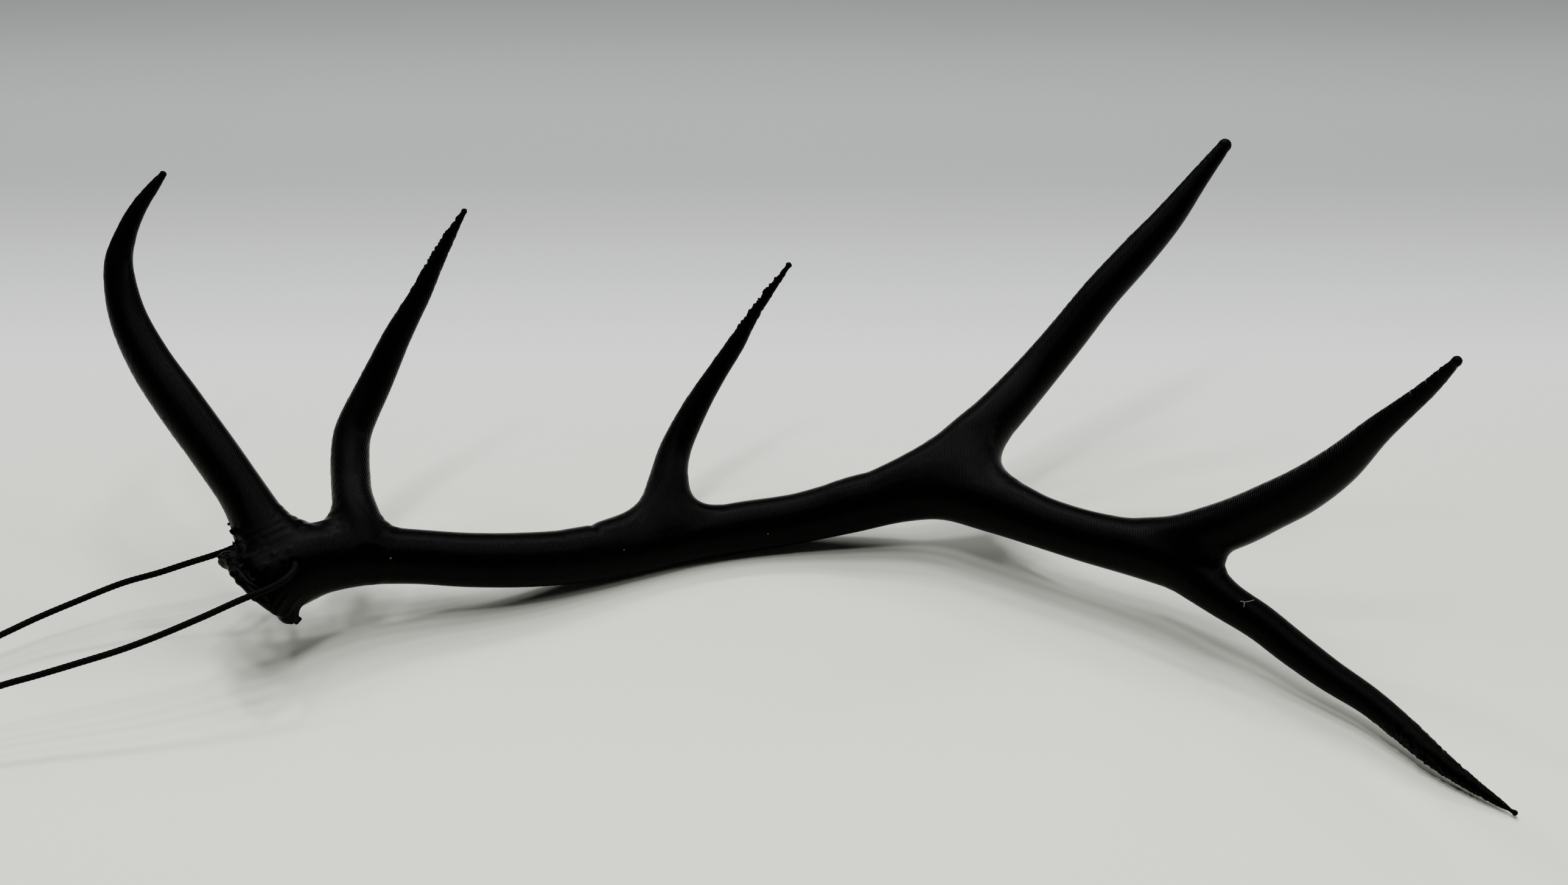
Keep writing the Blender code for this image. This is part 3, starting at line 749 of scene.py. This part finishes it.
# ---------------------------------------------------------------------------------
# Node helpers
# ---------------------------------------------------------------------------------
def set_inputs(tree, node, inputs):
    """Give a node its inputs, as plain values or as sockets to link."""
    for key, value in inputs.items():
        if isinstance(value, bpy.types.NodeSocket):
            tree.links.new(value, node.inputs[key])
        else:
            node.inputs[key].default_value = value


def put(tree, kind, inputs=None, **settings):
    """A node with its settings and inputs."""
    made = tree.nodes.new(kind)
    for key, value in settings.items():
        setattr(made, key, value)
    set_inputs(tree, made, inputs or {})
    return made


def do(tree, kind, inputs=None, **settings):
    """The first output of a node with its settings and inputs."""
    return put(tree, kind, inputs, **settings).outputs[0]


def calc(tree, operation, *values):
    return do(tree, "ShaderNodeMath", dict(enumerate(values)), operation=operation)


def vector_calc(tree, operation, first, second=None, scale=None):
    given = {0: first, 1: second, "Scale": scale}
    inputs = {key: value for key, value in given.items() if value is not None}
    made = put(tree, "ShaderNodeVectorMath", inputs, operation=operation)
    return made.outputs["Value" if operation == "DOT_PRODUCT" else "Vector"]


def cloud(tree, place, scale, detail):
    """Soft noise, 0 to 1."""
    inputs = {"Vector": place, "Scale": scale, "Detail": detail}
    return put(tree, "ShaderNodeTexNoise", inputs).outputs["Fac"]


def mix(tree, factor, first, second):
    """A blend of two colours, each given as red, green and blue or as a socket."""
    a, b = (c if isinstance(c, bpy.types.NodeSocket) else (*c, 1.0) for c in (first, second))
    return put(tree, "ShaderNodeMix", {0: factor, 6: a, 7: b}, data_type="RGBA").outputs[2]


def new_tree(name, kind, inputs, outputs):
    """A node group with named sockets, given as {name: (type, value)}."""
    tree = bpy.data.node_groups.new(name, kind)
    for key, (what, value) in inputs.items():
        socket = tree.interface.new_socket(key, in_out="INPUT", socket_type="NodeSocket" + what)
        if value is not None:
            socket.default_value = value
    for key, what in outputs.items():
        tree.interface.new_socket(key, in_out="OUTPUT", socket_type="NodeSocket" + what)
    given = tree.nodes.new("NodeGroupInput").outputs
    return tree, given, tree.nodes.new("NodeGroupOutput").inputs


def run_tree(obj, tree, material):
    """Run a Geometry Nodes tree on an object once, and keep the plain mesh."""
    modifier = obj.modifiers.new(tree.name, "NODES")
    modifier.node_group = tree
    modifier[tree.interface.items_tree["Material"].identifier] = material
    return settle(obj)


def store(tree, geometry, name, value, kind="FLOAT"):
    """The geometry with a named value on each of its points."""
    return do(tree, "GeometryNodeStoreNamedAttribute",
              {"Geometry": geometry, "Name": name, "Value": value}, data_type=kind, domain="POINT")


def recall(tree, name, kind="FLOAT"):
    made = put(tree, "GeometryNodeInputNamedAttribute", {"Name": name}, data_type=kind)
    return made.outputs["Attribute"]


# ---------------------------------------------------------------------------------
# Geometry Nodes
# ---------------------------------------------------------------------------------
def braided_cord_tree():
    """Sweeps a round cord along a line and weaves its surface, one strand over the next."""
    tree, given, out = new_tree("braided_cord", "GeometryNodeTree", {
        "Geometry": ("Geometry", None),
        "Diameter": ("Float", CORD_DIAMETER * MM),
        "Braid Pitch": ("Float", BRAID_PITCH * MM),
        "Carriers": ("Float", BRAID_CARRIERS),
        "Relief": ("Float", BRAID_RELIEF * MM),
        "Spacing": ("Float", CORD_SPACING * MM),
        "Sides": ("Int", CORD_SIDES),
        "Material": ("Material", None),
    }, {"Geometry": "Geometry"})
    line = do(tree, "GeometryNodeMeshToCurve", {"Mesh": given["Geometry"]})
    line = do(tree, "GeometryNodeResampleCurve", {"Curve": line, "Length": given["Spacing"]},
              mode="LENGTH")
    travelled = tree.nodes.new("GeometryNodeSplineParameter").outputs["Length"]
    here = do(tree, "GeometryNodeInputPosition")
    line = store(tree, line, "along", travelled)
    line = store(tree, line, "core", here, "FLOAT_VECTOR")
    radius = calc(tree, "MULTIPLY", given["Diameter"], 0.5)
    ring = do(tree, "GeometryNodeCurvePrimitiveCircle",
              {"Resolution": given["Sides"], "Radius": radius}, mode="RADIUS")
    turn = calc(tree, "DIVIDE", do(tree, "GeometryNodeInputIndex"), given["Sides"])
    ring = store(tree, ring, "around", turn)
    tube = do(tree, "GeometryNodeCurveToMesh",
              {"Curve": line, "Profile Curve": ring, "Fill Caps": True})

    angle = calc(tree, "MULTIPLY", recall(tree, "around"), 2 * math.pi)
    along = recall(tree, "along")
    winding = calc(tree, "MULTIPLY", angle, calc(tree, "MULTIPLY", given["Carriers"], 0.5))
    climb = calc(tree, "DIVIDE", calc(tree, "MULTIPLY", along, math.pi), given["Braid Pitch"])
    right = calc(tree, "COSINE", calc(tree, "ADD", winding, climb))
    left = calc(tree, "COSINE", calc(tree, "SUBTRACT", winding, climb))
    weave = calc(tree, "MULTIPLY", calc(tree, "MULTIPLY", right, left), BRAID_WEAVE)
    over = calc(tree, "MULTIPLY", calc(tree, "ABSOLUTE", right), calc(tree, "ADD", 1.0, weave))
    under = calc(tree, "MULTIPLY", calc(tree, "ABSOLUTE", left), calc(tree, "SUBTRACT", 1.0, weave))
    height = calc(tree, "DIVIDE", calc(tree, "MAXIMUM", over, under), 1.0 + BRAID_WEAVE)
    sink = calc(tree, "MULTIPLY", calc(tree, "SUBTRACT", height, 1.0), given["Relief"])
    from_core = vector_calc(tree, "SUBTRACT", here, recall(tree, "core", "FLOAT_VECTOR"))
    offset = vector_calc(tree, "SCALE", vector_calc(tree, "NORMALIZE", from_core), scale=sink)
    tube = do(tree, "GeometryNodeSetPosition", {"Geometry": tube, "Offset": offset})
    strand = do(tree, "ShaderNodeCombineXYZ", {
        "X": calc(tree, "COSINE", angle), "Y": calc(tree, "SINE", angle),
        "Z": calc(tree, "DIVIDE", along, given["Braid Pitch"])})
    tube = store(tree, tube, "strand", strand, "FLOAT_VECTOR")
    tube = store(tree, tube, "crown", height)
    tube = do(tree, "GeometryNodeSetShadeSmooth", {"Geometry": tube})
    tube = do(tree, "GeometryNodeRealizeInstances", {"Geometry": tube})
    tube = do(tree, "GeometryNodeSetMaterial", {"Geometry": tube, "Material": given["Material"]})
    tree.links.new(tube, out["Geometry"])
    return tree


def support_scars_tree():
    """Crumbs left on the overhangs where the printed supports broke off."""
    tree, given, out = new_tree("support_scars", "GeometryNodeTree", {
        "Geometry": ("Geometry", None),
        "Density": ("Float", CRUMB_DENSITY),
        "Smallest": ("Float", CRUMB_RADII[0] * MM),
        "Largest": ("Float", CRUMB_RADII[1] * MM),
        "Seed": ("Int", CRUMB_SEED),
        "Material": ("Material", None),
    }, {"Geometry": "Geometry"})
    density = calc(tree, "MULTIPLY", recall(tree, "scars"), given["Density"])
    spots = put(tree, "GeometryNodeDistributePointsOnFaces", {
        "Mesh": given["Geometry"], "Density": density, "Seed": given["Seed"]},
        distribute_method="RANDOM").outputs
    crumb = do(tree, "GeometryNodeMeshIcoSphere", {"Radius": 1.0, "Subdivisions": 2})
    size = put(tree, "FunctionNodeRandomValue", {
        2: given["Smallest"], 3: given["Largest"], "Seed": given["Seed"]},
        data_type="FLOAT").outputs[1]
    stretch = do(tree, "FunctionNodeRandomValue", {
        0: CRUMB_STRETCH[0], 1: CRUMB_STRETCH[1], "Seed": given["Seed"]}, data_type="FLOAT_VECTOR")
    crumbs = do(tree, "GeometryNodeInstanceOnPoints", {
        "Points": spots["Points"], "Instance": crumb, "Rotation": spots["Rotation"],
        "Scale": vector_calc(tree, "SCALE", stretch, scale=size)})
    crumbs = do(tree, "GeometryNodeRealizeInstances", {"Geometry": crumbs})
    crumbs = do(tree, "GeometryNodeSetMaterial",
                {"Geometry": crumbs, "Material": given["Material"]})
    tree.links.new(crumbs, out["Geometry"])
    return tree


# ---------------------------------------------------------------------------------
# Shader groups and materials
# ---------------------------------------------------------------------------------
def print_layers_group():
    """The rounded edges of stacked print layers, as a height, and the grooves between them, as a
    mask for painted shade.
    """
    tree, given, out = new_tree("print_layers", "ShaderNodeTree", {
        "Position": ("Vector", None),
        "Pitch": ("Float", LAYER_PITCH * MM),
        "Wander": ("Float", LAYER_WANDER),
        "Unevenness": ("Float", LAYER_UNEVENNESS),
    }, {"Height": "Float", "Groove": "Float"})
    rise = vector_calc(tree, "DOT_PRODUCT", given["Position"], tuple(LAYER_AXIS))
    drift = cloud(tree, given["Position"], *LAYER_CLOUD)
    level = calc(tree, "ADD", calc(tree, "DIVIDE", rise, given["Pitch"]),
                 calc(tree, "MULTIPLY", calc(tree, "SUBTRACT", drift, 0.5), given["Wander"]))
    part = calc(tree, "SUBTRACT", calc(tree, "MULTIPLY", calc(tree, "FRACT", level), 2.0), 1.0)
    square = calc(tree, "MULTIPLY", part, part)
    fall = calc(tree, "MULTIPLY", square, LAYER_ROUND)
    edge = calc(tree, "SQRT", calc(tree, "SUBTRACT", 1.0, fall))
    layer = do(tree, "ShaderNodeTexWhiteNoise", {"W": calc(tree, "FLOOR", level)},
               noise_dimensions="1D")
    uneven = calc(tree, "MULTIPLY", calc(tree, "SUBTRACT", layer, 0.5), given["Unevenness"])
    tree.links.new(calc(tree, "ADD", edge, uneven), out["Height"])
    tree.links.new(calc(tree, "POWER", square, GROOVE_SHARPNESS), out["Groove"])
    return tree


def fine_dust_group():
    """Sparse pale specks that settle on a dark surface."""
    tree, given, out = new_tree("fine_dust", "ShaderNodeTree", {
        "Position": ("Vector", None),
        "Spacing": ("Float", None),
        "Size": ("Float", None),
    }, {"Dust": "Float"})
    cells = put(tree, "ShaderNodeTexVoronoi", {
        "Vector": given["Position"], "Scale": calc(tree, "DIVIDE", 1.0, given["Spacing"])}).outputs
    chance = do(tree, "ShaderNodeTexWhiteNoise", {"Vector": cells["Color"]})
    size = calc(tree, "MULTIPLY", given["Size"], calc(tree, "SUBTRACT", chance, DUST_RARE))
    tree.links.new(calc(tree, "LESS_THAN", cells["Distance"], size), out["Dust"])
    return tree


def new_material(name):
    material = bpy.data.materials.new(name)
    material.use_nodes = True
    tree = material.node_tree
    shader = next(n for n in tree.nodes if n.type == "BSDF_PRINCIPLED")
    place = tree.nodes.new("ShaderNodeTexCoord").outputs["Object"]
    return material, tree, shader, place


def add_dust(tree, body, place, dust, spacing, size, share, colour):
    """A colour with specks of dust on it."""
    specks = do(tree, "ShaderNodeGroup", {"Position": place, "Spacing": spacing * MM, "Size": size},
                node_tree=dust)
    return mix(tree, calc(tree, "MULTIPLY", specks, share), body, colour)


def black_print_material(layers, dust):
    material, tree, shader, place = new_material("black_print")
    lines = put(tree, "ShaderNodeGroup", {"Position": place}, node_tree=layers).outputs
    patches = cloud(tree, place, *PLASTIC_CLOUD)
    body = mix(tree, patches, PLASTIC_DARK, PLASTIC_LIGHT)
    # painted shade: the grooves between the layers are darkened
    body = mix(tree, calc(tree, "MULTIPLY", lines["Groove"], GROOVE_SHADE_SHARE), body, GROOVE_PAINTED_SHADE)
    body = add_dust(tree, body, place, dust, *PLASTIC_DUST)
    rough = calc(tree, "ADD", calc(tree, "MULTIPLY", patches, PLASTIC_ROUGH_RANGE), PLASTIC_ROUGH)
    bump = put(tree, "ShaderNodeBump", {
        "Strength": 1.0, "Distance": LAYER_BUMP * MM, "Height": lines["Height"]})
    fine = put(tree, "ShaderNodeBump", {
        "Strength": GRAIN_STRENGTH, "Distance": GRAIN_BUMP * MM,
        "Height": cloud(tree, place, *GRAIN_CLOUD), "Normal": bump.outputs["Normal"]})
    set_inputs(tree, shader, {
        "Base Color": body, "Roughness": rough, "Specular IOR Level": PLASTIC_SHINE,
        "Normal": fine.outputs["Normal"]})
    return material


def black_cord_material(dust):
    material, tree, shader, place = new_material("black_cord")
    strand = put(tree, "ShaderNodeAttribute", attribute_name="strand").outputs["Vector"]
    crown = put(tree, "ShaderNodeAttribute", attribute_name="crown").outputs["Fac"]
    fibre = cloud(tree, vector_calc(tree, "MULTIPLY", strand, FIBRE_STRETCH), *FIBRE_CLOUD)
    # painted shade and light: darker in the braid's valleys, lighter on its crowns
    body = mix(tree, crown, CORD_VALLEY_PAINTED_SHADE, CORD_CROWN_PAINTED_LIGHT)
    body = mix(tree, calc(tree, "MULTIPLY", fibre, FIBRE_SHARE), body, CORD_FIBRE)
    body = add_dust(tree, body, place, dust, *CORD_DUST)
    bump = put(tree, "ShaderNodeBump", {
        "Strength": FIBRE_STRENGTH, "Distance": FIBRE_BUMP * MM, "Height": fibre})
    set_inputs(tree, shader, {
        "Base Color": body,
        "Roughness": calc(tree, "ADD", calc(tree, "MULTIPLY", fibre, CORD_ROUGH_RANGE), CORD_ROUGH),
        "Specular IOR Level": CORD_SHINE, "Normal": bump.outputs["Normal"]})
    return material


def pale_table_material():
    """Pale paper with the lamps' fall-off painted in as shade: its colour turns darker, and cooler,
    towards the back.
    """
    material, tree, shader, place = new_material("pale_table")
    depth = put(tree, "ShaderNodeSeparateXYZ", {"Vector": place}).outputs["Y"]
    back = put(tree, "ShaderNodeMapRange", {
        "Value": depth, "From Min": TABLE_FRONT, "From Max": TABLE_BACK}).outputs["Result"]
    # painted shade: the table's colour darkens towards the back, standing in for the lamps'
    # fall-off
    shade = put(tree, "ShaderNodeValToRGB", {"Fac": back})
    ramp = shade.color_ramp
    ramp.interpolation = "CARDINAL"
    while len(ramp.elements) < len(TABLE_PAINTED_SHADES):
        ramp.elements.new(0.5)
    for element, (at, colour) in zip(ramp.elements, TABLE_PAINTED_SHADES):
        element.position = at
        element.color = (*colour, 1.0)
    faint = calc(tree, "MULTIPLY", cloud(tree, place, *TABLE_CLOUD), TABLE_CLOUD_SHARE)
    set_inputs(tree, shader, {
        "Base Color": mix(tree, faint, shade.outputs["Color"], TABLE_CLOUD_GREY),
        "Roughness": TABLE_ROUGH, "Specular IOR Level": TABLE_SHINE})
    return material


def lint_material():
    material, tree, shader, place = new_material("pale_lint")
    colour = mix(tree, cloud(tree, place, *LINT_CLOUD), LINT_DARK, LINT_PALE)
    set_inputs(tree, shader, {"Base Color": colour, "Roughness": LINT_ROUGH})
    return material


# ---------------------------------------------------------------------------------
# Pieces
# ---------------------------------------------------------------------------------
def make_scars(antler, material):
    """The crumbs on the antler's overhangs and rough ends, as an object of their own."""
    mesh = antler.data
    rough = rough_ends(read_vectors(mesh, "co"))
    amount = overhang(mesh) * (SCARS_EVERYWHERE + rough) + SCARS_ON_ENDS * rough
    scars = mesh.attributes.new("scars", "FLOAT", "POINT")
    scars.data.foreach_set("value", amount.astype(np.float32))
    crumbs = link(bpy.data.objects.new("crumbs", mesh.copy()))
    return run_tree(crumbs, support_scars_tree(), material)


def make_antler(material):
    """The whole print in one skin: blended limbs, hole, burr, beads, scars and rough ends."""
    antler = blended_limbs()
    drill(antler)
    crumbs = make_scars(antler, material)
    bm = bmesh.new()
    add_burr_detail(bm, antler)
    add_stray_plastic(bm)
    face_out(bm)
    bm.transform(Matrix.Scale(MM, 4))
    bm.from_mesh(antler.data)
    bm.from_mesh(crumbs.data)
    bm.to_mesh(antler.data)
    bm.free()
    bpy.data.objects.remove(crumbs, do_unlink=True)
    one_skin(antler, *PRINT_SKIN)
    roughen(antler)
    thin_out(antler, PRINT_TRIANGLES)
    antler.data.materials.clear()
    antler.data.materials.append(material)
    antler.data.shade_smooth()
    return antler


def turn_outwards(obj):
    bm = bmesh.new()
    bm.from_mesh(obj.data)
    face_out(bm)
    if bm.calc_volume(signed=True) < 0:
        bmesh.ops.reverse_faces(bm, faces=bm.faces)
    bm.to_mesh(obj.data)
    bm.free()


def sweep_cord(name, points, tree, material):
    """A length of braided cord through points in millimetres."""
    mesh = bpy.data.meshes.new(name)
    mesh.from_pydata([p * MM for p in points], [(i, i + 1) for i in range(len(points) - 1)], [])
    cord = link(bpy.data.objects.new(name, mesh))
    run_tree(cord, tree, material)
    turn_outwards(cord)
    return cord


def make_cord(tree, material):
    points = smooth_path(CORD_ROUTE, ROUTE_SPACING)
    return sweep_cord("hanging_loop", points, tree, material), [p * MM for p in points]


def make_knot(tree, material):
    """The tied ends: one end is wound round the loop, and both are cut short."""
    across = Vector((KNOT_ALONG.y, -KNOT_ALONG.x, 0.0))
    up = Vector((0.0, 0.0, 1.0))
    wrap = CORD_DIAMETER * KNOT_WRAP
    half = KNOT_TURNS * CORD_DIAMETER * KNOT_TURN_WIDTH / 2
    tails = []
    for lean in (-1.0, 1.0):
        side = KNOT_ALONG * half * lean
        tail = []
        for share, splay, height in KNOT_TAIL_SHAPE:
            out = across * (wrap + KNOT_TAIL * share)
            point = KNOT_PLACE + side + out + KNOT_ALONG * lean * splay
            point.z = height
            tail.append(point)
        tails.append(tail)
    coil = []
    steps = KNOT_TURNS * KNOT_STEPS
    for k in range(1, steps):
        turn = 2 * math.pi * KNOT_TURNS * k / steps
        slide = KNOT_ALONG * half * (2 * k / steps - 1)
        coil.append(KNOT_PLACE + slide + (across * math.cos(turn) + up * math.sin(turn)) * wrap)
    points = smooth_path(tails[0] + coil + tails[1][::-1], KNOT_SPACING)
    return sweep_cord("end_knot", points, tree, material)


def make_dust(antler, material):
    """A few pale specks and two short fibres, each lying on the print."""
    bm = bmesh.new()
    for x, y, z, size in DUST_SPECKS:
        _, place, normal, _ = antler.closest_point_on_mesh(Vector((x, y, z)) * MM)
        add_ball(bm, place / MM, size, SPECK_SQUASH, aimed(normal))
    for fibre in LINT_FIBRES:
        route = []
        for point in fibre:
            _, place, normal, _ = antler.closest_point_on_mesh(Vector(point) * MM)
            route.append((*(place / MM + normal * LINT_LIFT), LINT_RADIUS))
        add_limb(bm, route, LINT_SPACING, LINT_SIDES)
    face_out(bm)
    dust = to_object("dust_and_lint", bm)
    dust.data.materials.append(material)
    dust.data.shade_smooth()
    return dust


# ---------------------------------------------------------------------------------
# Studio
# ---------------------------------------------------------------------------------
def make_camera():
    data = bpy.data.cameras.new("photo_camera")
    data.sensor_fit = "HORIZONTAL"
    data.angle = math.radians(CAMERA_WIDTH)
    data.clip_start, data.clip_end = CAMERA_CLIP
    camera = link(bpy.data.objects.new("photo_camera", data))
    camera.location = [c * MM for c in CAMERA_PLACE]
    camera.rotation_euler = (math.radians(CAMERA_TILT), 0.0, 0.0)
    bpy.context.scene.camera = camera


def make_floor(material):
    bm = bmesh.new()
    bmesh.ops.create_grid(bm, x_segments=2, y_segments=2, size=TABLE_SIZE)
    floor = to_object("table", bm)
    floor.data.materials.append(material)


def soft_light(name, place, size, share):
    """A lamp that faces the antler, as strong as its share of the table's light asks."""
    data = bpy.data.lights.new(name, "AREA")
    data.shape = "RECTANGLE"
    data.size, data.size_y = size
    data.energy = share * TABLE_LIGHT * math.pi * Vector(place).length ** 3 / place[2]
    light = link(bpy.data.objects.new(name, data))
    light.location = place
    light.rotation_euler = Vector(place).to_track_quat("Z", "Y").to_euler()


def make_studio():
    make_floor(pale_table_material())
    for name, lamp in LAMPS.items():
        soft_light(name, *lamp)
    world = bpy.data.worlds.new("room")
    world.use_nodes = True
    room = world.node_tree.nodes["Background"]
    room.inputs["Color"].default_value = (ROOM_LIGHT, ROOM_LIGHT, ROOM_LIGHT, 1.0)
    bpy.context.scene.world = world


def main():
    make_camera()
    dust = fine_dust_group()
    plastic = black_print_material(print_layers_group(), dust)
    cord_black = black_cord_material(dust)
    braid = braided_cord_tree()

    knot = make_knot(braid, cord_black)
    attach(knot, "root")
    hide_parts("cord_knot")
    cord, path = make_cord(braid, cord_black)
    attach(cord, "root")
    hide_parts("hanging_cord")

    antler = make_antler(plastic)
    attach(antler, "root")
    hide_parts("main_beam", "brow_tine", "bez_tine", "trez_tine", "royal_tine",
                "upper_prong", "lower_prong")
    specks = make_dust(antler, lint_material())
    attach(specks, "root")

    make_studio()


main()
